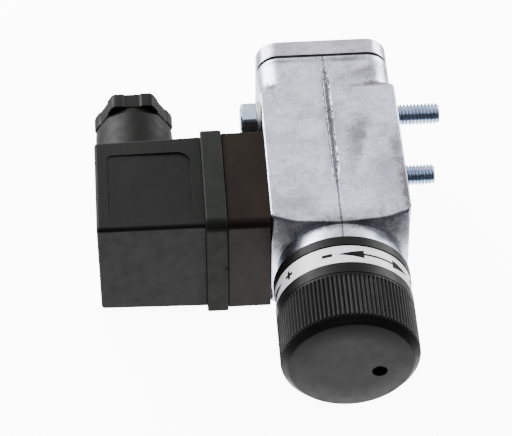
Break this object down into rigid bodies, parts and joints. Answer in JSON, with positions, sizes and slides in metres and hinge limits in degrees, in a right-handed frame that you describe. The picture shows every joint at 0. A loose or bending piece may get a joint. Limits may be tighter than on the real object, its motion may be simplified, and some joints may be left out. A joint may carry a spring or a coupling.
{
  "type": "adjustable pressure switch",
  "caption": "Flange-mounted adjustable pressure switch: die-cast block housing with knurled setting knob and scale, square side plug connector with cable gland, and long mounting screws.",
  "frame": {"origin": "on the flange face, on the plane of the knob's axis (mid depth), 13.8 mm nearer the knob than the two mounting screws", "axes": "+X out of the flange face, along the mounting screws' threaded ends; -Y out of the adjusting knob's end and +Y out of the cover; +Z out of the housing's front face, which faces up as the switch lies on its back"},
  "size_m": [0.0779, 0.0844, 0.03],
  "materials": {
    "die_cast_aluminium": "die-cast, tumbled, slightly stained",
    "cover_aluminium": "die-cast, tumbled",
    "zinc_plated_steel": "zinc plated, clear blue passivate",
    "spring_steel": "bright spring steel",
    "black_oxide_steel": "black oxide",
    "brass": "turned",
    "tinned_contact": "tin plated",
    "turned_aluminium": "turned",
    "black_plug_plastic": "fine spark-eroded matt",
    "black_base_plastic": "moulded, satin, faintly brown",
    "black_knob_plastic": "moulded, satin",
    "scale_film": "printed white film",
    "gasket_rubber": "moulded profile rubber",
    "black_rubber": "moulded rubber",
    "grey_plastic": "moulded",
    "switch_plastic": "moulded thermoset",
    "wire_insulation": "extruded insulation"
  },
  "bodies": {
    "body": {"base_screw_1": "zinc_plated_steel", "base_screw_2": "zinc_plated_steel", "base_screw_3": "zinc_plated_steel", "base_screw_4": "zinc_plated_steel", "connector_base": "black_base_plastic", "contact_blade_1": "tinned_contact", "contact_blade_2": "tinned_contact", "contact_blade_3": "tinned_contact", "cover": "cover_aluminium", "cover_screw_1": "zinc_plated_steel", "cover_screw_2": "zinc_plated_steel", "cover_screw_3": "zinc_plated_steel", "cover_screw_4": "zinc_plated_steel", "diaphragm": "black_rubber", "earth_blade": "tinned_contact", "flange_o_ring": "black_rubber", "gland_nut": "black_plug_plastic", "gland_seal": "black_rubber", "gland_washer": "grey_plastic", "housing": "die_cast_aluminium", "lead_wire_1": "wire_insulation", "lead_wire_2": "wire_insulation", "lead_wire_3": "wire_insulation", "microswitch_case": "switch_plastic", "microswitch_screw_1": "zinc_plated_steel", "microswitch_screw_2": "zinc_plated_steel", "microswitch_terminal_1": "tinned_contact", "microswitch_terminal_2": "tinned_contact", "microswitch_terminal_3": "tinned_contact", "mounting_screw_1": "zinc_plated_steel", "mounting_screw_2": "zinc_plated_steel", "plug_gasket": "gasket_rubber", "plug_housing": "black_plug_plastic", "plug_screw": "zinc_plated_steel", "plug_screw_seal": "black_rubber", "range_spring": "spring_steel", "spindle_bush": "brass", "spindle_o_ring": "black_rubber", "spring_washer_1": "spring_steel", "spring_washer_2": "spring_steel", "terminal_clamp_1": "brass", "terminal_clamp_2": "brass", "terminal_clamp_3": "brass", "terminal_clamp_4": "brass", "terminal_insert": "grey_plastic", "terminal_screw_1": "zinc_plated_steel", "terminal_screw_2": "zinc_plated_steel", "terminal_screw_3": "zinc_plated_steel", "terminal_screw_4": "zinc_plated_steel", "threaded_bush": "brass"},
    "knob": {"knob": "black_knob_plastic", "scale_ring": "scale_film", "knob_lock_screw": "black_oxide_steel", "adjusting_spindle": "zinc_plated_steel", "retaining_clip": "spring_steel"},
    "spring_nut": {"spring_nut": "brass"},
    "plunger": {"plunger": "brass", "diaphragm_plate": "turned_aluminium", "actuator_arm": "spring_steel"},
    "button": {"microswitch_button": "switch_plastic"}
  },
  "joints": [
    {"name": "knob_turn", "type": "hinge", "parent": "body", "child": "knob", "pos_m": [-0.0155, -0.038, 0], "axis": [0, 1, 0], "range_deg": [-720, 720]},
    {"name": "spring_nut_slide", "type": "slide", "parent": "body", "child": "spring_nut", "axis": [0, 1, 0], "range_m": [-0.002, 0.002], "deforming": ["range_spring"]},
    {"name": "plunger_slide", "type": "slide", "parent": "body", "child": "plunger", "axis": [0, -1, 0], "range_m": [0, 0.0006], "stiffness_N_per_m": 2000, "springref_m": -0.001, "deforming": ["range_spring"]},
    {"name": "button_press", "type": "slide", "parent": "body", "child": "button", "axis": [0, -1, 0], "range_m": [0, 0.0006]}
  ],
  "couplings": [
    {"joint": "spring_nut_slide", "follows": "knob_turn", "m_per_rad": 0.00015915},
    {"joint": "button_press", "follows": "plunger_slide", "ratio": 1}
  ]
}
